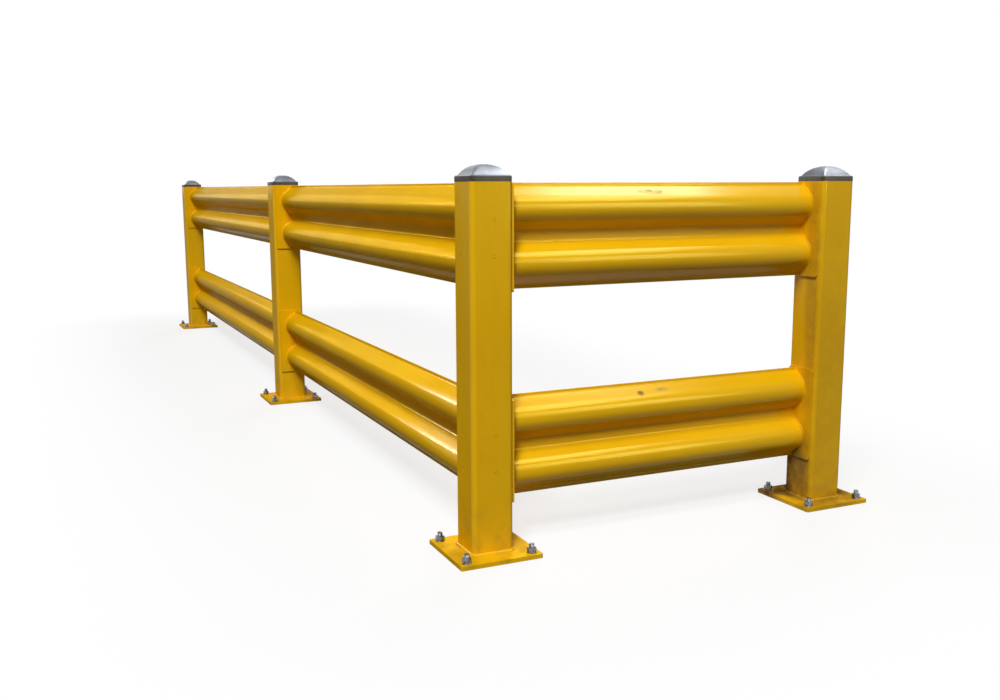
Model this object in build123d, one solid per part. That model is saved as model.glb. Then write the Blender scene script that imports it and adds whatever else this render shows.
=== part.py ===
from build123d import *
import math
import os

# Industrial guard rail: an L-shaped run of two-rib steel rails on square posts.
# Millimetres, +Z up. The origin is on the floor under the middle of the corner post.
# +X runs along the short leg to the right end post, and +Y along the long leg
# to the line post and the left end post. The ribs face out of the corner, to -X and -Y.

os.makedirs("parts", exist_ok=True)

# Layout, post centre to post centre
short_bay_length = 1219.2
middle_bay_length = 2438.4
far_bay_length = 3048.0

# Post tube
post_width = 127.0
post_wall = 4.76
post_corner_radius = 14.0
post_top = 1066.8

# Base plate and its weld
plate_width = 254.0
plate_thickness = 12.7
plate_corner_radius = 5.0
weld_leg = 7.0
weld_toe = 0.8

# Anchors through the base plate
anchor_edge_distance = 25.4
anchor_size = 16.0
anchor_hole_clearance = 1.0
anchor_washer_width = 30.0
anchor_washer_thickness = 3.0
anchor_washer_clearance = 0.5
anchor_nut_flats = 24.0
anchor_nut_height = 13.0
anchor_stud_projection = 11.0
anchor_stud_chamfer = 1.5

# Cap on the post: a moulded collar and a pressed dome
collar_overhang = 0.5
collar_rim_height = 15.0
collar_rim_fillet = 2.0
collar_plug_depth = 24.0
collar_plug_wall = 3.0
collar_plug_clearance = 0.3
collar_web = 4.0
dome_flange_setback = 3.0
dome_setback = 8.0
dome_height = 35.0
dome_sheet = 2.0

# Rail section, roll-formed from one sheet
rail_height = 301.6
rail_depth = 50.8
rail_sheet = 3.0
lip_height = 10.75
crest_width = 48.4
valley_width = 33.9
crest_roundness = 0.96
root_bend_radius = 10.0

# Rail heights
rail_top_drop = 3.0
rail_level_spacing = 609.6

# Rail end plate
end_plate_setback = 9.5
end_plate_margin = 1.6
end_plate_thickness = 6.35
end_plate_corner_radius = 6.0

# Rail bolts, two in each end plate
bolt_size = 10.0
bolt_hole_clearance = 0.5
bolt_pitch = 101.6
bolt_row_shift = 5.0
bolt_head_flats = 17.0
bolt_head_height = 6.4
bolt_end_projection = 2.5
bolt_washer_width = 20.0
bolt_washer_thickness = 2.0
bolt_washer_clearance = 0.25

# Tapped plate inside the post
nut_plate_width = 32.0
nut_plate_length = 150.0
nut_plate_thickness = 8.0

# Sizes and places worked out from the sizes above
anchor_pitch = plate_width - 2 * anchor_edge_distance
flank_run = (rail_height - 2 * lip_height - 2 * crest_width - valley_width) / 4
flank_lean = math.atan2(rail_depth - rail_sheet, flank_run)
crest_bend_radius = crest_roundness * crest_width / 2 / math.tan(flank_lean / 2)
end_plate_width = post_width - 2 * end_plate_setback
end_plate_height = rail_height + 2 * end_plate_margin
upper_level = post_top - rail_top_drop - rail_height / 2
lower_level = upper_level - rail_level_spacing
levels = {"lower": lower_level, "upper": upper_level}
corner = (0.0, 0.0)
right_end = (short_bay_length, 0.0)
line = (0.0, middle_bay_length)
left_end = (0.0, middle_bay_length + far_bay_length)
collar_top = post_top + collar_rim_height
bolt_hole_radius = bolt_size / 2 + bolt_hole_clearance
washer_top = plate_thickness + anchor_washer_thickness
stud_top = washer_top + anchor_nut_height + anchor_stud_projection

# Each post: its place, the ways it is drilled through, and the sides that carry rails
posts = {
    "corner": (corner, "XY", ("+X", "+Y")),
    "right_end": (right_end, "X", ("-X",)),
    "line": (line, "Y", ("-Y", "+Y")),
    "left_end": (left_end, "Y", ("-Y",)),
}

# Each bay: the post it starts from, its direction and its length
bays = {
    "short_bay": (corner, "X", short_bay_length),
    "middle_bay": (corner, "Y", middle_bay_length),
    "far_bay": (line, "Y", far_bay_length),
}


def save(shape, name):
    shape.label = name
    export_step(shape, f"parts/{name}.step")


def group(solids):
    return Compound(children=list(solids))


def rounded_block(width, radius, low, high):
    outline = RectangleRounded(width, width, radius)
    return Pos(0, 0, low) * extrude(outline, high - low)


def washer(width, hole_radius, thickness):
    ring = Circle(width / 2) - Circle(hole_radius)
    return extrude(ring, thickness)


def hexagon(flats):
    return RegularPolygon(flats / 2, 6, major_radius=False)


def post_tube(drilled):
    # A square tube, drilled right through from side to side for each row of rail bolts
    inner_width = post_width - 2 * post_wall
    inner_radius = post_corner_radius - post_wall
    tube = rounded_block(post_width, post_corner_radius, plate_thickness, post_top)
    tube -= rounded_block(inner_width, inner_radius, plate_thickness, post_top)
    for axis in drilled:
        for level in levels.values():
            for side in (-1, 1):
                height = level + side * bolt_pitch / 2
                drill = Cylinder(bolt_hole_radius, 2 * post_width)
                if axis == "X":
                    drill = Pos(0, bolt_row_shift, height) * Rot(0, 90, 0) * drill
                else:
                    drill = Pos(bolt_row_shift, 0, height) * Rot(90, 0, 0) * drill
                tube -= drill
    return tube


def base_plate():
    plate = rounded_block(plate_width, plate_corner_radius, 0, plate_thickness)
    hole_radius = anchor_size / 2 + anchor_hole_clearance
    for spot in GridLocations(anchor_pitch, anchor_pitch, 2, 2):
        plate -= spot * Cylinder(hole_radius, 4 * plate_thickness)
    return plate


def base_weld():
    # A fillet weld all round the foot of the tube
    foot_width = post_width + 2 * weld_leg
    toe_width = post_width + 2 * weld_toe
    foot = RectangleRounded(foot_width, foot_width, post_corner_radius + weld_leg)
    toe = RectangleRounded(toe_width, toe_width, post_corner_radius + weld_toe)
    top = plate_thickness + weld_leg
    bead = loft([Pos(0, 0, plate_thickness) * foot, Pos(0, 0, top) * toe], ruled=True)
    return bead - rounded_block(post_width, post_corner_radius, 0, post_top)


def cap_collar():
    # A rim on the end of the tube, and a hollow plug down inside it
    rim_width = post_width + 2 * collar_overhang
    rim_radius = post_corner_radius + collar_overhang
    rim = rounded_block(rim_width, rim_radius, post_top, collar_top)
    rim = fillet(rim.edges().group_by(Axis.Z)[-1], collar_rim_fillet)
    plug_width = post_width - 2 * post_wall - 2 * collar_plug_clearance
    plug_radius = post_corner_radius - post_wall - collar_plug_clearance
    plug_low = post_top - collar_plug_depth
    plug = rounded_block(plug_width, plug_radius, plug_low, post_top)
    hollow = rounded_block(
        plug_width - 2 * collar_plug_wall,
        plug_radius - collar_plug_wall,
        plug_low,
        collar_top - collar_web,
    )
    return rim + plug - hollow


def vault(half_width, height):
    # Two equal arches crossed at right angles: a square dome with four curved sides
    radius = (half_width**2 + height**2) / (2 * height)
    arch = Pos(0, height - radius) * Circle(radius)
    arch -= Pos(0, -radius) * Rectangle(3 * radius, 2 * radius)
    run = extrude(Plane.XZ * arch, half_width, both=True)
    return run & Rot(0, 0, 90) * run


def cap_dome():
    # A pressed square dome with a flat flange that sits on the collar
    rim_width = post_width + 2 * collar_overhang
    half_width = rim_width / 2 - dome_setback
    flange_width = rim_width - 2 * dome_flange_setback
    flange_radius = post_corner_radius + collar_overhang - dome_flange_setback
    dome = vault(half_width, dome_height)
    dome += rounded_block(flange_width, flange_radius, 0, dome_sheet)
    dome -= vault(half_width - dome_sheet, dome_height - dome_sheet)
    return Pos(0, 0, collar_top) * dome


def rail_section():
    # The front of the sheet runs lip, flank, crest, flank and valley, and then mirrors.
    # The back of the sheet is the same line moved square to each face by the sheet.
    front = -rail_depth / 2
    root = rail_depth / 2 - rail_sheet
    step = rail_sheet * math.tan(flank_lean / 2)
    crest_high = rail_height / 2 - lip_height - flank_run
    crest_low = crest_high - crest_width
    upper_front = [
        (root, rail_height / 2),
        (root, crest_high + flank_run),
        (front, crest_high),
        (front, crest_low),
        (root, crest_low - flank_run),
    ]
    shifts = [0, -step, -step, step, step]
    upper_back = []
    for (y, z), shift in zip(upper_front, shifts):
        upper_back.append((y + rail_sheet, z + shift))
    front_line = upper_front + [(y, -z) for y, z in reversed(upper_front)]
    back_line = upper_back + [(y, -z) for y, z in reversed(upper_back)]
    section = make_face(Polyline(*front_line, *reversed(back_line), close=True))
    bends = {
        crest_bend_radius: [p for p in front_line if p[0] == front],
        crest_bend_radius - rail_sheet: [p for p in back_line if p[0] == front + rail_sheet],
        root_bend_radius: [p for p in front_line[1:-1] if p[0] == root],
        root_bend_radius + rail_sheet: [p for p in back_line[1:-1] if p[0] == root + rail_sheet],
    }
    for radius, places in bends.items():
        chosen = []
        for place in places:
            nearest = min(section.vertices(), key=lambda v: math.dist((v.X, v.Y), place))
            chosen.append(nearest)
        section = fillet(chosen, radius)
    return section


def rail(bay_length):
    # Cut to fit between the end plates, with its ribs to -Y
    half = bay_length / 2 - post_width / 2 - end_plate_thickness
    return extrude(Plane.YZ * section, half, both=True)


def end_plate(bay_length, end):
    outline = RectangleRounded(end_plate_width, end_plate_height, end_plate_corner_radius)
    for side in (-1, 1):
        outline -= Pos(bolt_row_shift, side * bolt_pitch / 2) * Circle(bolt_hole_radius)
    plate = extrude(Plane.YZ * outline, end_plate_thickness / 2, both=True)
    reach = bay_length / 2 - post_width / 2 - end_plate_thickness / 2
    return Pos(end * reach, 0, 0) * plate


def rail_bolt():
    # Lies along X with its head out on the rail's side of the post's face at X = 0
    seat = end_plate_thickness + bolt_washer_thickness
    tip = post_wall + nut_plate_thickness + bolt_end_projection
    shank = extrude(Plane.YZ * Circle(bolt_size / 2), seat + tip)
    head = extrude(Plane.YZ * hexagon(bolt_head_flats), bolt_head_height)
    return Pos(-tip, 0, 0) * shank + Pos(seat, 0, 0) * head


def rail_washer():
    ring = washer(
        bolt_washer_width,
        bolt_size / 2 + bolt_washer_clearance,
        bolt_washer_thickness,
    )
    return Pos(end_plate_thickness, 0, 0) * Rot(0, 90, 0) * ring


def nut_plate():
    # Lies against the inside of the wall whose outer face is at X = 0
    plate = Box(nut_plate_thickness, nut_plate_width, nut_plate_length)
    for side in (-1, 1):
        hole = Rot(0, 90, 0) * Cylinder(bolt_size / 2, 2 * nut_plate_thickness)
        plate -= Pos(0, 0, side * bolt_pitch / 2) * hole
    return Pos(-post_wall - nut_plate_thickness / 2, 0, 0) * plate


def on_face(centre, side, height):
    # A place on the bolt row of a post's side, with its own +X pointing out of the post
    turns = {"+X": 0, "-X": 180, "+Y": 90, "-Y": -90}
    reach = post_width / 2 if side[0] == "+" else -post_width / 2
    x, y = centre
    if side[1] == "X":
        return Pos(x + reach, y + bolt_row_shift, height) * Rot(0, 0, turns[side])
    return Pos(x + bolt_row_shift, y + reach, height) * Rot(0, 0, turns[side])


def in_bay(start, direction, bay_length, height):
    # The middle of a bay, with the rail along X turned so that its ribs face outwards
    x, y = start
    if direction == "X":
        return Pos(x + bay_length / 2, y, height)
    return Pos(x, y + bay_length / 2, height) * Rot(0, 0, -90)


section = rail_section()

# Posts, each with its plate, weld, cap and nut plates
for name, (centre, drilled, sides) in posts.items():
    place = Pos(centre[0], centre[1], 0)
    save(place * post_tube(drilled), f"{name}_post")
    save(place * base_plate(), f"{name}_base_plate")
    save(place * base_weld(), f"{name}_base_weld")
    save(place * cap_collar(), f"{name}_cap_collar")
    save(place * cap_dome(), f"{name}_cap_dome")
    backing = []
    for side in sides:
        for level in levels.values():
            backing.append(on_face(centre, side, level) * nut_plate())
    save(group(backing), f"{name}_nut_plates")

# Rails and the plates welded on their ends
for name, (start, direction, bay_length) in bays.items():
    for level_name, level in levels.items():
        place = in_bay(start, direction, bay_length, level)
        save(place * rail(bay_length), f"{name}_{level_name}_rail")
        near = -1 if direction == "X" else 1
        save(place * end_plate(bay_length, near), f"{name}_{level_name}_near_end_plate")
        save(place * end_plate(bay_length, -near), f"{name}_{level_name}_far_end_plate")

# Rail bolts and their washers
bolts = []
washers = []
for centre, drilled, sides in posts.values():
    for side in sides:
        for level in levels.values():
            for row in (-1, 1):
                place = on_face(centre, side, level + row * bolt_pitch / 2)
                bolts.append(place * rail_bolt())
                washers.append(place * rail_washer())
save(group(bolts), "rail_bolts")
save(group(washers), "rail_bolt_washers")

# Anchors: studs up through the plates, cut off at the floor, with washers and nuts
stud = extrude(Circle(anchor_size / 2), stud_top)
stud = chamfer(stud.edges().group_by(Axis.Z)[-1], anchor_stud_chamfer)
anchor_washer = washer(
    anchor_washer_width,
    anchor_size / 2 + anchor_washer_clearance,
    anchor_washer_thickness,
)
anchor_nut = extrude(hexagon(anchor_nut_flats) - Circle(anchor_size / 2), anchor_nut_height)
studs = []
anchor_washers = []
anchor_nuts = []
for centre, drilled, sides in posts.values():
    for spot in GridLocations(anchor_pitch, anchor_pitch, 2, 2):
        place = Pos(centre[0], centre[1], 0) * spot
        studs.append(place * stud)
        anchor_washers.append(place * Pos(0, 0, plate_thickness) * anchor_washer)
        anchor_nuts.append(place * Pos(0, 0, washer_top) * anchor_nut)
save(group(studs), "anchor_studs")
save(group(anchor_washers), "anchor_washers")
save(group(anchor_nuts), "anchor_nuts")
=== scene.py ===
import math

import bmesh
import bpy
from mathutils import Matrix, Vector


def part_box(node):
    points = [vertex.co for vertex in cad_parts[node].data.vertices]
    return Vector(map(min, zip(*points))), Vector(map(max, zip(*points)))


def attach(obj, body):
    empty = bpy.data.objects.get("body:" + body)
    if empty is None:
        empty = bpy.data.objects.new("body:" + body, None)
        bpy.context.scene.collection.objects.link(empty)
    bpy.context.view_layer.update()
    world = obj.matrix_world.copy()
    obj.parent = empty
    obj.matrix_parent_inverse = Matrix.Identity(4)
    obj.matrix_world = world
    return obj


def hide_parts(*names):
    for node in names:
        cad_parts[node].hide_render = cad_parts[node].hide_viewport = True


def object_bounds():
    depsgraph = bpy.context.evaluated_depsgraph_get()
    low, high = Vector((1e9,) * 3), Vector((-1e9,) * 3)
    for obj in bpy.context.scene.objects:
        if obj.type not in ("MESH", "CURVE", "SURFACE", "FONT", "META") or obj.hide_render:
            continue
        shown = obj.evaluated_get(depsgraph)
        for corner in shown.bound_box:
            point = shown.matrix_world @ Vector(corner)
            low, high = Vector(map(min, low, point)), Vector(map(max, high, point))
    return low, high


# The looks of an L-shaped guard rail: yellow powder coat on the posts, the plates and
# the two-rib rails, dark cap collars, bright cap domes and zinc-plated hardware.
# Metres, +Z up. The origin is on the floor under the middle of the corner post.

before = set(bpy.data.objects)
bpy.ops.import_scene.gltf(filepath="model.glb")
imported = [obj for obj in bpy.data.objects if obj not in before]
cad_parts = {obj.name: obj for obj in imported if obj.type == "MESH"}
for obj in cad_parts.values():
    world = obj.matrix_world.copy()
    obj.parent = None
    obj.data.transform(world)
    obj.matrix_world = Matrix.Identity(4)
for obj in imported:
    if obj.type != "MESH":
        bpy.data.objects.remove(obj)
cad_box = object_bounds()
scene = bpy.context.scene
scene.view_settings.view_transform = "Standard"

mm = 0.001

# Rail section
rail_sheet = 3.0 * mm
lip_height = 10.75 * mm
crest_width = 48.4 * mm
valley_width = 33.9 * mm
crest_roundness = 0.96
root_bend_radius = 10.0 * mm
sheet_edge_radius = 0.9 * mm
bend_steps = 12
rail_station_pitch = 60 * mm

# Weld beads, with the ripples of a hand-laid weld
foot_weld_leg = 7.0 * mm
rail_weld_leg = 4.2 * mm
weld_root = 0.4 * mm
weld_profile_steps = 6
weld_profile_power = 1.15
weld_flatness = 0.86
weld_crown = 0.14
weld_end_size = 0.35
weld_end_growth = 0.25
weld_ripple_pitch = 4.5 * mm
weld_ripple_height = 0.35 * mm
weld_stations_per_ripple = 3
weld_pitch_drift = 0.12
weld_pitch_drift_rate = 2.1
weld_height_drift = 0.35
weld_height_drift_rate = 0.37

# Posts
post_corner_radius = 14.0 * mm

# Cap collars
collar_edge = 0.6 * mm
collar_underside_width = 5.2 * mm
collar_rim_fillet = 2.0 * mm
collar_fillet_steps = 6
collar_lid_border = 8.0 * mm

# Cap domes
dome_flange_setback = 3.0 * mm
dome_flange_blend = 1.5 * mm
dome_sheet = 2.0 * mm
dome_reach = 56.0 * mm
dome_groin_radius = 8.0 * mm
dome_divisions = 72

# Anchors
anchor_radius = 8.0 * mm
anchor_end_chamfer = 1.2 * mm
anchor_nut_flats = 24.0 * mm
anchor_washer_radius = 15.0 * mm
thread_pitch = 2.0 * mm
thread_depth = 0.55 * thread_pitch
thread_start_in_nut = 0.5 * mm
thread_rings_per_pitch = 6
thread_steps = 24
thread_run_in = 0.5 * thread_pitch
thread_run_out = 1.5 * thread_pitch

# Nuts, bolt heads and washers
round_steps = 48
hexagon_sector = math.pi / 3
hexagon_face_ratio = 0.95
hexagon_chamfer = math.radians(30)
washer_edge = 0.4 * mm

# Bolts at the rail ends
bolt_head_flats = 17.0 * mm
bolt_head_height = 6.4 * mm
bolt_head_turn = 0.3
bolt_washer_radius = 10.0 * mm
bolt_washer_thickness = 2.0 * mm
bolt_pitch = 101.6 * mm
bolt_row_shift = 5.0 * mm

# Plugs in the bolt holes that no rail uses
plug_radius = 5.45 * mm
plug_recess = 0.9 * mm
plug_thickness = 2.5 * mm

# Angles above which an edge is drawn sharp, in degrees
hardware_sharp_angle = 32
plug_sharp_angle = 50
collar_sharp_angle = 35
dome_sharp_angle = 60

# Centres of the posts on the floor
posts = {
    "corner": Vector((0.0, 0.0, 0.0)),
    "right_end": Vector((1.2192, 0.0, 0.0)),
    "line": Vector((0.0, 2.4384, 0.0)),
    "left_end": Vector((0.0, 5.4864, 0.0)),
}
bays = ("short_bay", "middle_bay", "far_bay")
levels = ("upper", "lower")

# Faces whose bolt holes stay free: the post, and the direction out of the face
free_faces = (
    ("corner", Vector((0, -1, 0))),
    ("corner", Vector((-1, 0, 0))),
    ("right_end", Vector((1, 0, 0))),
    ("left_end", Vector((0, 1, 0))),
)

# How the grain of the coat is drawn out: up the posts, and along the rails of each leg
post_grain = (1, 1, 0.3)
short_leg_grain = (0.1, 1, 1)
long_leg_grain = (1, 0.1, 1)

# Dirt on the posts and plates, with painted shade on the right end post: its centre, its
# reach each way and its strength
post_dirt_and_shade = (
    ((1.10, 0.13, 0.01), (0.18, 0.15, 0.07), 1.0),
    # These two darken the lower left face of the right end post: partly dirt, partly
    # painted shade
    ((1.15, 0.065, 0.12), (0.05, 0.06, 0.30), 0.85),
    ((1.15, 0.02, 0.08), (0.04, 0.12, 0.26), 0.80),
    ((1.30, 0.05, 0.01), (0.17, 0.18, 0.05), 1.00),
    ((1.20, -0.10, 0.01), (0.20, 0.05, 0.03), 0.50),
    # Painted shade: the front of the right end post, darker towards the bottom
    ((1.22, -0.06, 0.30), (0.12, 0.06, 0.80), 0.20),
    # Painted shade on the end plates beside the rails at the right end post
    ((1.15, -0.035, 0.75), (0.03, 0.05, 0.60), 0.38),
    ((0.09, 0.10, 0.01), (0.07, 0.10, 0.03), 0.55),
    ((-0.10, -0.06, 0.01), (0.05, 0.10, 0.03), 0.30),
)

# A spot and a streak on the lower rail of the short leg, in the same terms
rail_stains = (
    ((0.525, -0.01, 0.425), (0.018, 0.03, 0.010), 1.0),
    ((0.605, -0.01, 0.430), (0.040, 0.03, 0.008), 0.7),
)

# A rub mark on its upper rail: centre, reach, scale of its streaks and strength
rail_scuffs = (((0.555, -0.005, 1.038), (0.085, 0.03, 0.012), 70.0, 0.8),)

# Camera, as fitted to the photo. Angles in degrees, lengths in pixels or millimetres
camera_place = (-1.15466, -2.62503, 1.04866)
camera_angles = {"yaw": 24.66, "pitch": 9.00, "roll": -0.22}
focal_length_px = 1022.56
picture_width_px = 1000.0
sensor_width_mm = 36.0

# Backdrop and floor
fill_light = 0.08
floor_half_width = 60.0
floor_drop = 0.5 * mm
floor_grey = 0.96
floor_bounce_grey = 0.12
floor_white_at_part = 0.75
floor_fade_width = 1.2


def node_tree(owner):
    owner.use_nodes = True
    tree = owner.node_tree
    tree.nodes.clear()
    return tree


def add(tree, kind, **settings):
    # A new node. Each setting is a socket's value or a property of the node
    made = tree.nodes.new(kind)
    for key, value in settings.items():
        if key in made.inputs:
            made.inputs[key].default_value = value
        else:
            setattr(made, key, value)
    return made


def feed(tree, socket, value):
    # A socket takes a number, a colour or another node's output
    if isinstance(value, (int, float)):
        socket.default_value = value
    elif isinstance(value, tuple):
        socket.default_value = (*value, 1.0)
    else:
        tree.links.new(value, socket)


def math_node(tree, operation, *values):
    made = add(tree, "ShaderNodeMath", operation=operation)
    for slot, value in enumerate(values):
        feed(tree, made.inputs[slot], value)
    return made.outputs[0]


def vector_node(tree, operation, source, constant=None):
    made = add(tree, "ShaderNodeVectorMath", operation=operation)
    tree.links.new(source, made.inputs[0])
    if constant is not None:
        made.inputs[1].default_value = constant
    return made.outputs["Value" if operation == "LENGTH" else "Vector"]


def ramp(tree, source, span, result=(0.0, 1.0)):
    # Smoothly from the first result at the start of the span to the second at its end
    made = add(tree, "ShaderNodeMapRange", interpolation_type="SMOOTHSTEP")
    tree.links.new(source, made.inputs["Value"])
    names = ("From Min", "From Max", "To Min", "To Max")
    for name, value in zip(names, (*span, *result)):
        made.inputs[name].default_value = value
    return made.outputs["Result"]


def blend_colour(tree, factor, first, second):
    made = add(tree, "ShaderNodeMix", data_type="RGBA", blend_type="MIX")
    for slot, value in ((0, factor), (6, first), (7, second)):
        feed(tree, made.inputs[slot], value)
    return made.outputs[2]


def noise(tree, place, scale, detail=3.0, roughness=0.5):
    made = add(
        tree, "ShaderNodeTexNoise", Scale=scale, Detail=detail, Roughness=roughness
    )
    tree.links.new(place, made.inputs["Vector"])
    return made.outputs["Fac"]


def bump(tree, height, strength, distance, normal=None):
    made = add(tree, "ShaderNodeBump", Strength=strength, Distance=distance)
    tree.links.new(height, made.inputs["Height"])
    if normal is not None:
        tree.links.new(normal, made.inputs["Normal"])
    return made.outputs["Normal"]


def facing_away(tree):
    # 0 on a face seen square on, rising to 1 on a face seen from its edge
    return add(tree, "ShaderNodeLayerWeight", Blend=0.5).outputs["Facing"]


def surface(name, **constants):
    material = bpy.data.materials.new(name)
    tree = node_tree(material)
    place = add(tree, "ShaderNodeTexCoord").outputs["Object"]
    shader = add(tree, "ShaderNodeBsdfPrincipled", **constants)
    out = add(tree, "ShaderNodeOutputMaterial")
    tree.links.new(shader.outputs[0], out.inputs["Surface"])
    return material, tree, place, shader


def finish_surface(tree, shader, colour, roughness, normal):
    tree.links.new(colour, shader.inputs["Base Color"])
    tree.links.new(roughness, shader.inputs["Roughness"])
    tree.links.new(normal, shader.inputs["Normal"])


def oval_mask(tree, place, centre, reach):
    away = vector_node(tree, "SUBTRACT", place, centre)
    scaled = vector_node(tree, "MULTIPLY", away, tuple(1 / r for r in reach))
    length = vector_node(tree, "LENGTH", scaled)
    return ramp(tree, length, (0.35, 1.0), (1.0, 0.0))


def stain_and_shade_mask(tree, place, centre, reach, strength):
    # An oval patch with clouds in it, used for stains and for painted shade
    clouds = noise(tree, place, 24.0, 6.0, 0.6)
    patchiness = ramp(tree, clouds, (0.25, 0.60), (0.45, 1.0))
    mask = math_node(tree, "MULTIPLY", oval_mask(tree, place, centre, reach), patchiness)
    return math_node(tree, "MULTIPLY", mask, strength)


def scuff_mask(tree, place, centre, reach, scale, strength):
    # An oval patch, broken up by streaks that run along the rail
    drawn = vector_node(tree, "MULTIPLY", place, (1, 1, 4))
    streaks = ramp(tree, noise(tree, drawn, scale), (0.42, 0.56))
    mask = math_node(tree, "MULTIPLY", oval_mask(tree, place, centre, reach), streaks)
    return math_node(tree, "MULTIPLY", mask, strength)


def coat_material(name, grain, scuffs=(), stains_and_shade=()):
    gloss = {"Specular IOR Level": 0.3, "Specular Tint": (1.0, 0.97, 0.2, 1)}
    material, tree, place, shader = surface(name, **gloss)

    # The clear gloss fades out towards the edges of a form, and a yellow one comes in
    facing = facing_away(tree)
    clear = ramp(tree, facing, (0.45, 0.63), (0.24, 0.001))
    yellow = ramp(tree, facing, (0.50, 0.70), (0.0, 0.04))
    tree.links.new(clear, shader.inputs["Specular IOR Level"])
    tree.links.new(yellow, shader.inputs["Metallic"])

    # Slow drift of the colour, with mottle and specks drawn out along the grain
    drift = ramp(tree, noise(tree, place, 2.3, 2.0), (0.35, 0.65))
    colour = blend_colour(tree, drift, (0.84, 0.46, 0.003), (0.88, 0.495, 0.005))
    drawn = vector_node(tree, "MULTIPLY", place, grain)
    mottle = ramp(tree, noise(tree, drawn, 60.0, 4.0), (0.4, 0.75), (0.0, 0.3))
    colour = blend_colour(tree, mottle, colour, (0.78, 0.40, 0.003))
    specks = ramp(tree, noise(tree, drawn, 420.0, 2.0), (0.72, 0.80), (0.0, 0.35))
    colour = blend_colour(tree, specks, colour, (0.45, 0.24, 0.01))

    # Grime that thins out with the height above the floor
    height = add(tree, "ShaderNodeSeparateXYZ")
    tree.links.new(place, height.inputs[0])
    low = ramp(tree, height.outputs["Z"], (0.02, 0.22), (1.0, 0.0))
    patches = ramp(tree, noise(tree, place, 14.0, 5.0), (0.42, 0.72), (0.0, 0.45))
    grime = math_node(tree, "MULTIPLY", low, patches)
    colour = blend_colour(tree, grime, colour, (0.40, 0.22, 0.03))

    # Marks, and the painted shade among the stains, take the colour down and dull the
    # gloss
    roughness = ramp(tree, noise(tree, drawn, 30.0, 4.0), (0.3, 0.7), (0.15, 0.23))
    marks = [(stain_and_shade_mask, stain, (0.13, 0.06, 0.015), 0.4) for stain in stains_and_shade]
    marks += [(scuff_mask, scuff, (0.24, 0.15, 0.03), 0.3) for scuff in scuffs]
    for make_mask, where, tone, dulling in marks:
        mask = make_mask(tree, place, *where)
        colour = blend_colour(tree, mask, colour, tone)
        roughness = math_node(tree, "MULTIPLY_ADD", mask, dulling, roughness)

    waves = bump(tree, noise(tree, place, 5.0, 0.0), 0.12, 1.5 * mm)
    peel = bump(tree, noise(tree, place, 520.0, 2.0), 0.05, 0.3 * mm, waves)
    finish_surface(tree, shader, colour, roughness, peel)
    return material


def zinc_material():
    material, tree, place, shader = surface("zinc_plate", Metallic=1.0)
    cloud = noise(tree, place, 90.0, 4.0)
    tone = ramp(tree, cloud, (0.35, 0.7))
    colour = blend_colour(tree, tone, (0.15, 0.16, 0.18), (0.27, 0.28, 0.29))
    stain = ramp(tree, noise(tree, place, 30.0), (0.55, 0.75), (0.0, 0.5))
    colour = blend_colour(tree, stain, colour, (0.26, 0.21, 0.15))
    roughness = ramp(tree, cloud, (0.3, 0.7), (0.28, 0.45))
    grain = bump(tree, noise(tree, place, 900.0, 2.0), 0.2, 0.2 * mm)
    finish_surface(tree, shader, colour, roughness, grain)
    return material


def chrome_material():
    material, tree, place, shader = surface("bright_steel", Metallic=1.0)
    tone = ramp(tree, noise(tree, place, 16.0), (0.35, 0.7))
    colour = blend_colour(tree, tone, (0.13, 0.142, 0.158), (0.22, 0.236, 0.26))
    marks = noise(tree, vector_node(tree, "MULTIPLY", place, (1, 6, 1)), 160.0)
    scratches = ramp(tree, marks, (0.6, 0.75), (0.0, 0.4))
    colour = blend_colour(tree, scratches, colour, (0.25, 0.25, 0.25))
    roughness = ramp(tree, marks, (0.3, 0.7), (0.38, 0.48))
    dents = bump(tree, noise(tree, place, 60.0, 2.0), 0.15, 0.4 * mm)
    finish_surface(tree, shader, colour, roughness, dents)
    return material


def collar_material():
    material, tree, place, shader = surface(
        "dark_plastic", **{"Specular IOR Level": 0.3}
    )
    gloss = ramp(tree, facing_away(tree), (0.35, 0.60), (0.25, 0.01))
    tree.links.new(gloss, shader.inputs["Specular IOR Level"])
    cloud = noise(tree, place, 25.0)
    tone = ramp(tree, cloud, (0.35, 0.7))
    colour = blend_colour(tree, tone, (0.042, 0.034, 0.022), (0.066, 0.056, 0.038))
    dust = ramp(tree, noise(tree, place, 300.0), (0.62, 0.75), (0.0, 0.5))
    colour = blend_colour(tree, dust, colour, (0.10, 0.088, 0.06))
    roughness = ramp(tree, cloud, (0.3, 0.7), (0.35, 0.5))
    grain = bump(tree, noise(tree, place, 700.0, 2.0), 0.25, 0.2 * mm)
    finish_surface(tree, shader, colour, roughness, grain)
    return material


def corners_of(node):
    low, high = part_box(node)
    return Vector(low), Vector(high)


def piece_from(
    name, solid, material, stands_for=(), normals=None, sharp_angle=None
):
    # solid: (points, faces). Without normals of its own, the faces are turned outwards
    points, faces = solid
    mesh = bpy.data.meshes.new(name)
    mesh.from_pydata(points, [], faces)
    if normals is None:
        shape = bmesh.new()
        shape.from_mesh(mesh)
        bmesh.ops.recalc_face_normals(shape, faces=shape.faces)
        shape.to_mesh(mesh)
        shape.free()
    mesh.shade_smooth()
    if sharp_angle is not None:
        mesh.set_sharp_from_angle(angle=math.radians(sharp_angle))
    if normals is not None:
        mesh.normals_split_custom_set_from_vertices(normals)
    piece = bpy.data.objects.new(name, mesh)
    scene.collection.objects.link(piece)
    mesh.materials.append(material)
    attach(piece, "root")
    if stands_for:
        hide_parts(*stands_for)


def hardware_piece(name, parts, material, stands_for):
    piece_from(
        name, merged(parts), material, [stands_for],
        sharp_angle=hardware_sharp_angle,
    )


def merged(parts):
    points, faces = [], []
    for more_points, more_faces in parts:
        shift = len(points)
        points += more_points
        faces += [tuple(i + shift for i in f) for f in more_faces]
    return points, faces


def band(first, second, count):
    # Faces between two closed rows of points, given the number of each row's first point
    pairs = [(k, (k + 1) % count) for k in range(count)]
    return [(first + k, first + n, second + n, second + k) for k, n in pairs]


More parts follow.
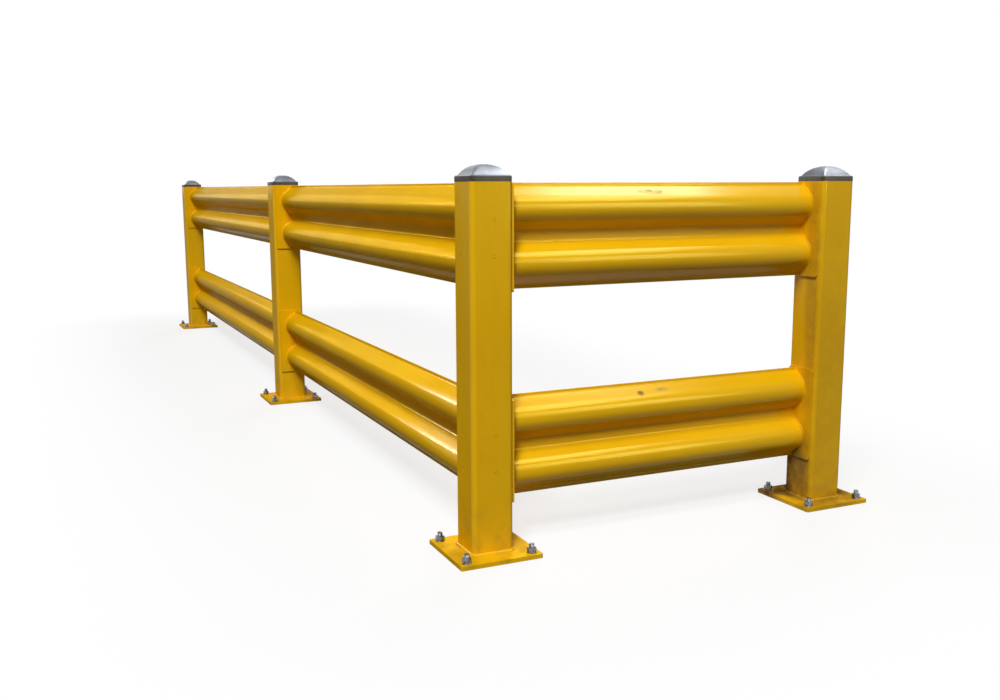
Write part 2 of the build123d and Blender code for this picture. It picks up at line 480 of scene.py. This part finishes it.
def stacked(ring, rows):
    # Faces of a solid made of rows of points, closed by a face at each end
    faces = []
    for i in range(rows - 1):
        faces += band(i * ring, (i + 1) * ring, ring)
    faces.append(tuple(range(ring))[::-1])
    faces.append(tuple(range((rows - 1) * ring, rows * ring)))
    return faces


def rounded_outline(corners, closed=True):
    # corners: (point, radius). Gives the points and outward normals of the rounded line
    points, normals = [], []
    count = len(corners)
    for i, (corner, radius) in enumerate(corners):
        if not closed and i in (0, count - 1):
            run = corners[1][0] - corner if i == 0 else corner - corners[-2][0]
            points.append(corner.copy())
            normals.append(Vector((run.y, -run.x)).normalized())
            continue
        back = (corners[i - 1][0] - corner).normalized()
        on = (corners[(i + 1) % count][0] - corner).normalized()
        turn = math.pi - back.angle(on)
        middle = (back + on).normalized()
        centre = corner + middle * radius / math.cos(turn / 2)
        side = 1.0 if back.x * on.y - back.y * on.x < 0 else -1.0
        first = -middle
        for k in range(bend_steps + 1):
            swing = side * turn * (k / bend_steps - 0.5)
            c, s = math.cos(swing), math.sin(swing)
            ray = Vector((first.x * c - first.y * s, first.x * s + first.y * c))
            points.append(centre + ray * radius)
            normals.append(ray * side)
    return points, normals


def rounded_square(half, radius):
    turns = ((1, -1), (1, 1), (-1, 1), (-1, -1))
    return rounded_outline([(Vector((sx * half, sy * half)), radius) for sx, sy in turns])


def even_steps(outline, rays, pitch, closed):
    # The outline again, at even steps, with its normals
    count = len(outline)
    pairs = count if closed else count - 1
    lengths = [(outline[(i + 1) % count] - outline[i]).length for i in range(pairs)]
    total = sum(lengths)
    just_short_of_the_end = total - 1e-9
    steps = round(total / pitch)
    found, i, passed = [], 0, 0.0
    for k in range(steps if closed else steps + 1):
        goal = min(total * k / steps, just_short_of_the_end)
        while passed + lengths[i] < goal:
            passed += lengths[i]
            i += 1
        part = (goal - passed) / lengths[i]
        point = outline[i].lerp(outline[(i + 1) % count], part)
        ray = rays[i].lerp(rays[(i + 1) % count], part).normalized()
        found.append((point, ray))
    return found


def rail_faces(height, depth):
    # Corners of the sheet's front and back, top to bottom: (depth, height), bend radius
    front = -depth / 2
    root = depth / 2 - rail_sheet
    flank_run = (height - 2 * lip_height - 2 * crest_width - valley_width) / 4
    lean = math.atan2(root - front, flank_run)
    step = rail_sheet * math.tan(lean / 2)
    wide = crest_roundness * crest_width / 2 / math.tan(lean / 2)
    crest_high = height / 2 - lip_height - flank_run
    crest_low = crest_high - crest_width
    tight = root_bend_radius
    face = [
        (root, height / 2, sheet_edge_radius),
        (root, height / 2 - lip_height, tight),
        (front, crest_high, wide),
        (front, crest_low, wide),
        (root, valley_width / 2, tight),
    ]
    rear = [
        (root + rail_sheet, height / 2, sheet_edge_radius),
        (root + rail_sheet, height / 2 - lip_height - step, tight + rail_sheet),
        (front + rail_sheet, crest_high - step, wide - rail_sheet),
        (front + rail_sheet, crest_low + step, wide - rail_sheet),
        (root + rail_sheet, valley_width / 2 + step, tight + rail_sheet),
    ]

    def whole(half):
        top = [(Vector((y, z)), r) for y, z, r in half]
        return top + [(Vector((y, -z)), r) for y, z, r in reversed(half)]

    return whole(face), whole(rear)


def rail_frame(node):
    # How a rail lies: its ends, its long axis, its section, and the way from a place in
    # the section (depth, height) to a point or a direction of the scene
    low, high = corners_of(node)
    size = high - low
    lengthwise = 0 if size.x > size.y else 1
    across = 1 - lengthwise
    middle = (low + high) / 2

    def spot(place, run):
        point = Vector((0, 0, middle.z + place.y))
        point[lengthwise] = run
        point[across] = middle[across] + place.x
        return point

    def direction(ray):
        arrow = Vector((0, 0, ray.y))
        arrow[across] = ray.x
        return arrow

    section = rail_faces(size.z, size[across])
    return low[lengthwise], high[lengthwise], lengthwise, section, spot, direction


def make_rail(node, material):
    start, end, lengthwise, (face, rear), spot, direction = rail_frame(node)
    outline, rays = rounded_outline(face + rear[::-1])
    stations = max(2, round((end - start) / rail_station_pitch))
    ring = len(outline)
    points, normals, faces = [], [], []
    for i in range(stations + 1):
        run = start + (end - start) * i / stations
        points += [spot(p, run) for p in outline]
        normals += [direction(r) for r in rays]
    for i in range(stations):
        faces += band(i * ring, (i + 1) * ring, ring)
    for run, way in ((start, -1), (end, 1)):
        first = len(points)
        points += [spot(p, run) for p in outline]
        arrow = Vector((0, 0, 0))
        arrow[lengthwise] = way
        normals += [arrow] * ring
        faces.append(tuple(range(first, first + ring))[::way])
    if lengthwise == 1:
        faces = [f[::-1] for f in faces]
    solid = (points, faces)
    piece_from(node + "_sheet", solid, material, [node], normals)


def ripple(distance, seed):
    # Crescents that are a little uneven in their pitch and height
    phase = distance / weld_ripple_pitch
    drift = weld_pitch_drift * math.sin(weld_pitch_drift_rate * phase + seed)
    wave = abs(math.sin(math.pi * (phase + drift)))
    swell = weld_height_drift * math.sin(weld_height_drift_rate * phase + 2 * seed)
    return weld_ripple_height * (wave - 0.5) * (1 + swell)


def bead(path, leg, seed, closed):
    # path: (point, direction off the wall, direction off the plate) at even steps
    points, faces = [], []
    travelled = 0.0
    count = len(path)
    last = weld_profile_steps
    for i, (point, off_wall, off_plate) in enumerate(path):
        if i:
            travelled += (point - path[i - 1][0]).length
        size = leg + ripple(travelled, seed)
        if not closed:
            from_end = min(i, count - 1 - i)
            size *= min(1.0, weld_end_size + weld_end_growth * from_end)
        points.append(point - off_wall * weld_root - off_plate * weld_root)
        for k in range(last + 1):
            t = math.pi / 2 * k / last
            swell = weld_flatness + weld_crown * math.sin(2 * t)
            reach = size * math.sin(t) ** weld_profile_power * (1 if k == last else swell)
            rise = size * math.cos(t) ** weld_profile_power * (1 if k == 0 else swell)
            points.append(point + off_wall * reach + off_plate * rise)
    ring = last + 2
    for i in range(count if closed else count - 1):
        faces += band(i * ring, (i + 1) % count * ring, ring)
    if not closed:
        faces.append(tuple(range(ring)))
        faces.append(tuple(range((count - 1) * ring, count * ring))[::-1])
    return points, faces


def make_rail_welds(node, material):
    start, end, lengthwise, (face, rear), spot, direction = rail_frame(node)
    pitch = weld_ripple_pitch / weld_stations_per_ripple
    for end_name, run, way in (("near", start, 1), ("far", end, -1)):
        off_plate = Vector((0, 0, 0))
        off_plate[lengthwise] = way
        parts = []
        for seed, (line, side) in enumerate(((face, 1), (rear, -1))):
            outline, rays = rounded_outline(line, closed=False)
            path = [
                (spot(p, run), direction(r) * side, off_plate)
                for p, r in even_steps(outline, rays, pitch, False)
            ]
            parts.append(bead(path, rail_weld_leg, seed + run, False))
        name = f"{node}_{end_name}_weld"
        piece_from(name, merged(parts), material)


def make_foot_weld(post, material):
    node = post + "_base_weld"
    low, high = corners_of(node)
    half = (high.x - low.x) / 2 - foot_weld_leg
    outline, rays = rounded_square(half, post_corner_radius)
    centre = posts[post]
    up = Vector((0, 0, 1))
    pitch = weld_ripple_pitch / weld_stations_per_ripple
    path = [
        (Vector((centre.x + p.x, centre.y + p.y, low.z)), Vector((r.x, r.y, 0)), up)
        for p, r in even_steps(outline, rays, pitch, True)
    ]
    solid = bead(path, foot_weld_leg - weld_ripple_height, 1.0, True)
    piece_from(node + "_bead", solid, material, [node])


def turned(rows, steps):
    # rows: (radius, height). Either may be a function of the angle
    points = []
    for radius, height in rows:
        for k in range(steps):
            angle = 2 * math.pi * k / steps
            r = radius(angle) if callable(radius) else radius
            z = height(angle) if callable(height) else height
            points.append(Vector((r * math.cos(angle), r * math.sin(angle), z)))
    return points, stacked(steps, len(rows))


def hex_solid(flats, low, high, chamfer_both):
    # A hexagon whose ends are cut by a flat cone
    ring = flats / 2 * hexagon_face_ratio
    half_sector = hexagon_sector / 2

    def radius(angle):
        return flats / 2 / math.cos((angle + half_sector) % hexagon_sector - half_sector)

    def cut(angle):
        return (radius(angle) - ring) * math.tan(hexagon_chamfer)

    rows = [(ring, low), (radius, lambda a: low + cut(a))] if chamfer_both else []
    rows = rows or [(radius, low)]
    rows += [(radius, lambda a: high - cut(a)), (ring, high)]
    return turned(rows, round_steps)


def washer_solid(radius, low, high):
    inner = radius - washer_edge
    rows = [
        (inner, low),
        (radius, low + washer_edge),
        (radius, high - washer_edge),
        (inner, high),
    ]
    return turned(rows, round_steps)


def threaded(radius, low, thread_from, high):
    rows = [(radius, low), (radius, thread_from)]
    ring_pitch = thread_pitch / thread_rings_per_pitch
    count = max(1, int((high - thread_from) / ring_pitch))
    for i in range(1, count):
        z = thread_from + (high - thread_from) * i / count
        fade = min(1.0, (high - z) / thread_run_out, (z - thread_from) / thread_run_in)

        def wavy(angle, z=z, fade=fade):
            turn = (z / thread_pitch - angle / (2 * math.pi)) % 1.0
            return radius - thread_depth * fade * abs(2 * turn - 1)

        rows.append((wavy, z))
    rows.append((radius - anchor_end_chamfer, high))
    return turned(rows, thread_steps)


def placed(solid, where, axis=Vector((0, 0, 1)), spin=0.0):
    upright = Vector((0, 0, 1))
    turn = upright.rotation_difference(axis).to_matrix() @ Matrix.Rotation(spin, 3, "Z")
    points, faces = solid
    return [turn @ p + where for p in points], faces


def make_anchors(material):
    nut_low, nut_high = (c[2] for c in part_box("anchor_nuts"))
    washer_low, washer_high = (c[2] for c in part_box("anchor_washers"))
    stud_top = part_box("anchor_studs")[1][2]
    inset = -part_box("anchor_studs")[0][0] - anchor_radius
    stud = threaded(anchor_radius, 0.0, nut_high - thread_start_in_nut, stud_top)
    nut = hex_solid(anchor_nut_flats, nut_low, nut_high, True)
    washer = washer_solid(anchor_washer_radius, washer_low, washer_high)
    places = [
        centre + Vector((sx * inset, sy * inset, 0))
        for centre in posts.values() for sx in (-1, 1) for sy in (-1, 1)
    ]
    for node, solid in (
        ("anchor_studs", stud), ("anchor_nuts", nut), ("anchor_washers", washer)
    ):
        parts = [placed(solid, where) for where in places]
        hardware_piece(node + "_detail", parts, material, node)


def make_rail_bolts(material):
    washer = washer_solid(bolt_washer_radius, 0, bolt_washer_thickness)
    top = bolt_washer_thickness + bolt_head_height
    head = hex_solid(bolt_head_flats, bolt_washer_thickness, top, False)
    ends = [
        (f"{bay}_{level}_{end_name}_end_plate", way)
        for bay in bays
        for level in levels
        for end_name, way in (("near", 1), ("far", -1))
    ]
    bolts, washers = [], []
    for node, way in ends:
        low, high = corners_of(node)
        size = high - low
        lengthwise = 0 if size.x < size.y else 1
        axis = Vector((0, 0, 0))
        axis[lengthwise] = way
        face = high[lengthwise] if way > 0 else low[lengthwise]
        for side in (-1, 1):
            where = (low + high) / 2
            where[lengthwise] = face
            where[1 - lengthwise] += bolt_row_shift
            where.z += side * bolt_pitch / 2
            washers.append(placed(washer, where, axis))
            bolts.append(placed(head, where, axis, bolt_head_turn * side + face))
    hardware_piece("rail_bolt_washers_detail", washers, material, "rail_bolt_washers")
    hardware_piece("rail_bolt_heads", bolts, material, "rail_bolts")


def make_hole_plugs(material):
    plug = washer_solid(plug_radius, 0, plug_thickness)
    parts = []
    for post, axis in free_faces:
        low, high = corners_of(post + "_post")
        half = (high.x - low.x) / 2
        across = Vector((1, 0, 0)) if axis.y else Vector((0, 1, 0))
        seat = posts[post] + across * bolt_row_shift
        seat += axis * (half - plug_recess - plug_thickness)
        for level in levels:
            rail_low, rail_high = corners_of(f"short_bay_{level}_rail")
            for side in (-1, 1):
                where = seat.copy()
                where.z = (rail_low.z + rail_high.z) / 2 + side * bolt_pitch / 2
                parts.append(placed(plug, where, axis))
    piece_from(
        "bolt_hole_plugs", merged(parts), material,
        sharp_angle=plug_sharp_angle,
    )


def make_collar(post, material):
    node = post + "_cap_collar"
    low, high = corners_of(node)
    post_high = corners_of(post + "_post")[1]
    half = (high.x - low.x) / 2
    centre = posts[post]
    radius = post_corner_radius + half - (post_high.x - centre.x)
    outline, rays = rounded_square(half, radius)
    # Each row stands off the outline by its first number, at the height of its second
    rows = [
        (-collar_underside_width, post_high.z),
        (-collar_edge, post_high.z),
        (0.0, post_high.z + collar_edge),
    ]
    for k in range(collar_fillet_steps + 1):
        t = math.pi / 2 * k / collar_fillet_steps
        inwards = collar_rim_fillet * (math.cos(t) - 1)
        rows.append((inwards, high.z + collar_rim_fillet * (math.sin(t) - 1)))
    rows.append((-collar_lid_border, high.z))
    points = [
        Vector((centre.x + p.x + r.x * offset, centre.y + p.y + r.y * offset, z))
        for offset, z in rows for p, r in zip(outline, rays)
    ]
    solid = (points, stacked(len(outline), len(rows)))
    piece_from(
        node + "_rim", solid, material, [node],
        sharp_angle=collar_sharp_angle,
    )


def lower_of(a, b, blend):
    # The lower of two heights, with a rounded change from one to the other
    mix = max(0.0, min(1.0, 0.5 + (b - a) / (2 * blend)))
    return b + (a - b) * mix - blend * mix * (1 - mix)


def pulled_to_corner(x, y, half, corner):
    # A point of a square, drawn in so that the square's corners are rounded
    inner = half - corner
    dx, dy = abs(x) - inner, abs(y) - inner
    if dx <= 0 or dy <= 0:
        return x, y
    shrink = max(dx, dy) / math.hypot(dx, dy)
    return math.copysign(inner + dx * shrink, x), math.copysign(inner + dy * shrink, y)


def make_dome(post, material):
    node = post + "_cap_dome"
    low, high = corners_of(node)
    height = high.z - low.z
    radius = (dome_reach**2 + height**2) / (2 * height)
    half = (high.x - low.x) / 2
    centre = posts[post]
    corner = post_corner_radius - dome_flange_setback

    def arch(x):
        return math.sqrt(max(radius**2 - x**2, 0.0)) - (radius - height)

    count = dome_divisions
    side = count + 1
    points, faces = [], []
    for i in range(side):
        for k in range(side):
            x, y = (2 * i / count - 1) * half, (2 * k / count - 1) * half
            x, y = pulled_to_corner(x, y, half, corner)
            rise = lower_of(arch(x), arch(y), dome_groin_radius)
            rise = -lower_of(-rise, -dome_sheet, dome_flange_blend)
            points.append(Vector((centre.x + x, centre.y + y, low.z + rise)))
    for i in range(count):
        faces += [
            (i * side + k, (i + 1) * side + k, (i + 1) * side + k + 1, i * side + k + 1)
            for k in range(count)
        ]
    # The rim runs round the four sides, and its points are repeated on the collar
    rim = [i * side for i in range(side)]
    rim += [count * side + k for k in range(1, side)]
    rim += [i * side + count for i in range(count - 1, -1, -1)]
    rim += range(count - 1, 0, -1)
    first = len(points)
    points += [Vector((points[i].x, points[i].y, low.z)) for i in rim]
    ring = len(rim)
    for k in range(ring):
        n = (k + 1) % ring
        faces.append((rim[n], rim[k], first + k, first + n))
    faces.append(tuple(range(first, first + ring))[::-1])
    piece_from(
        node + "_shell", (points, faces), material, [node],
        sharp_angle=dome_sharp_angle,
    )


def make_camera():
    angles = (camera_angles[name] for name in ("yaw", "pitch", "roll"))
    yaw, pitch, roll = (math.radians(angle) for angle in angles)
    flat = math.cos(pitch)
    ahead = Vector((math.sin(yaw) * flat, math.cos(yaw) * flat, -math.sin(pitch)))
    level = Vector((math.cos(yaw), -math.sin(yaw), 0.0))
    above = level.cross(ahead)
    right = level * math.cos(roll) + above * math.sin(roll)
    up = above * math.cos(roll) - level * math.sin(roll)
    data = bpy.data.cameras.new("camera")
    data.sensor_width = sensor_width_mm
    data.lens = focal_length_px * sensor_width_mm / picture_width_px
    data.clip_start, data.clip_end = 0.05, 200.0
    camera = bpy.data.objects.new("camera", data)
    turn = Matrix((right, up, -ahead)).transposed()
    camera.matrix_world = Matrix.Translation(camera_place) @ turn.to_4x4()
    scene.collection.objects.link(camera)
    scene.camera = camera


def seen_directly(tree):
    # 1 for rays that show the backdrop or the floor, 0 for those that only light by it
    path = add(tree, "ShaderNodeLightPath").outputs
    either = math_node(tree, "MAXIMUM", path["Is Camera Ray"], path["Is Glossy Ray"])
    return math_node(tree, "MAXIMUM", either, path["Is Transmission Ray"])


def mixed_shaders(tree, factor, first, second):
    mix = add(tree, "ShaderNodeMixShader")
    tree.links.new(factor, mix.inputs["Fac"])
    tree.links.new(first.outputs[0], mix.inputs[1])
    tree.links.new(second.outputs[0], mix.inputs[2])
    return mix


def grey(value):
    return (value, value, value, 1)


def make_world():
    world = bpy.data.worlds.new("studio")
    scene.world = world
    tree = node_tree(world)
    light = add(tree, "ShaderNodeBackground", Color=grey(1), Strength=fill_light)
    seen = add(tree, "ShaderNodeBackground", Color=grey(1), Strength=1.0)
    out = add(tree, "ShaderNodeOutputWorld")
    both = mixed_shaders(tree, seen_directly(tree), light, seen)
    tree.links.new(both.outputs[0], out.inputs["Surface"])


def make_floor():
    r = floor_half_width
    mesh = bpy.data.meshes.new("floor")
    mesh.from_pydata([(-r, -r, 0), (r, -r, 0), (r, r, 0), (-r, r, 0)], [], [(0, 1, 2, 3)])
    floor = bpy.data.objects.new("floor", mesh)
    floor.location.z = -floor_drop
    scene.collection.objects.link(floor)
    material = bpy.data.materials.new("floor")
    tree = node_tree(material)
    pale = add(tree, "ShaderNodeBsdfDiffuse", Color=grey(floor_grey))
    white = add(tree, "ShaderNodeEmission", Color=grey(1), Strength=1.0)
    dull = add(tree, "ShaderNodeBsdfDiffuse", Color=grey(floor_bounce_grey))
    # The floor turns plain white away from the object, so that no horizon shows
    low, high = (Vector(c) for c in cad_box)
    middle, half = (low + high) / 2, (high - low) / 2
    place = add(tree, "ShaderNodeTexCoord").outputs["Object"]
    shifted = vector_node(tree, "SUBTRACT", place, (middle.x, middle.y, 0))
    folded = vector_node(tree, "ABSOLUTE", shifted)
    beyond = vector_node(tree, "SUBTRACT", folded, (half.x, half.y, 0))
    outside = vector_node(tree, "MAXIMUM", beyond, (0, 0, 0))
    away = vector_node(tree, "LENGTH", outside)
    fade = ramp(tree, away, (0.0, floor_fade_width), (floor_white_at_part, 1.0))
    shown = mixed_shaders(tree, fade, pale, white)
    both = mixed_shaders(tree, seen_directly(tree), dull, shown)
    out = add(tree, "ShaderNodeOutputMaterial")
    tree.links.new(both.outputs[0], out.inputs["Surface"])
    mesh.materials.append(material)


def aimed_lamp(name, kind, power, towards):
    data = bpy.data.lights.new(name, kind)
    data.energy = power
    lamp = bpy.data.objects.new(name, data)
    lamp.rotation_euler = Vector(towards).to_track_quat("-Z", "Y").to_euler()
    scene.collection.objects.link(lamp)
    return lamp


def area_lamp(name, place, target, size, power, diffuse=True):
    lamp = aimed_lamp(name, "AREA", power, Vector(target) - Vector(place))
    lamp.location = place
    lamp.data.shape = "RECTANGLE"
    lamp.data.size, lamp.data.size_y = size
    lamp.visible_camera = False
    lamp.visible_diffuse = diffuse


def sun_lamp(name, source, power, spread, glossy=True):
    lamp = aimed_lamp(name, "SUN", power, -Vector(source))
    lamp.data.angle = math.radians(spread)
    lamp.visible_glossy = glossy


def make_lamps():
    sun_lamp("front_daylight", source=(-2.15, -3.0, 3.8), power=1.77, spread=12)
    sun_lamp(
        "back_daylight", source=(2.9, 3.4, 0.6), power=2.6, spread=25, glossy=False
    )
    area_lamp(
        "key_softbox", place=(-1.4, -2.0, 5.1), target=(0.2, 0.6, 0.6),
        size=(1.2, 1.2), power=125,
    )
    # Panels that show only as highlights: place, target, size and power
    panels = {
        "overhead_strip": ((2.3, -0.8, 4.0), (0.5, -0.8, 0.9), (4.0, 1.1), 175),
        "right_softbox": ((2.35, -3.05, 1.75), (0.5, 0.0, 1.2), (1.3, 1.6), 66),
        "left_window": ((-1.5, 7.0, 2.25), (-0.2, 1.0, 1.6), (2.4, 2.5), 92),
        "left_panel": ((-2.6, 6.9, 2.55), (-0.2, 0.2, 1.2), (0.36, 1.9), 85),
        "back_window": ((3.0, 8.0, 3.0), (0.5, 0.5, 0.0), (3.5, 2.0), 90),
    }
    for name, panel in panels.items():
        area_lamp(name, *panel, diffuse=False)


make_camera()
make_world()
make_floor()
make_lamps()

coat = coat_material("yellow_coat", post_grain, stains_and_shade=post_dirt_and_shade)
short_leg_coat = coat_material(
    "yellow_coat_short_leg", short_leg_grain, rail_scuffs, rail_stains
)
long_leg_coat = coat_material("yellow_coat_long_leg", long_leg_grain)
rail_coats = {
    "short_bay": short_leg_coat,
    "middle_bay": long_leg_coat,
    "far_bay": long_leg_coat,
}
zinc = zinc_material()
chrome = chrome_material()
plastic = collar_material()

for name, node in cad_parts.items():
    if name.endswith("_nut_plates") or name.startswith(("anchor", "rail_bolt")):
        finish = zinc
    elif name.endswith("_cap_collar"):
        finish = plastic
    elif name.endswith("_cap_dome"):
        finish = chrome
    else:
        finish = coat
    node.data.materials.clear()
    node.data.materials.append(finish)

for bay in bays:
    for level in levels:
        rail_node = f"{bay}_{level}_rail"
        make_rail(rail_node, rail_coats[bay])
        make_rail_welds(rail_node, coat)
for post in posts:
    make_foot_weld(post, coat)
    make_collar(post, plastic)
    make_dome(post, chrome)
make_anchors(zinc)
make_rail_bolts(zinc)
make_hole_plugs(coat)
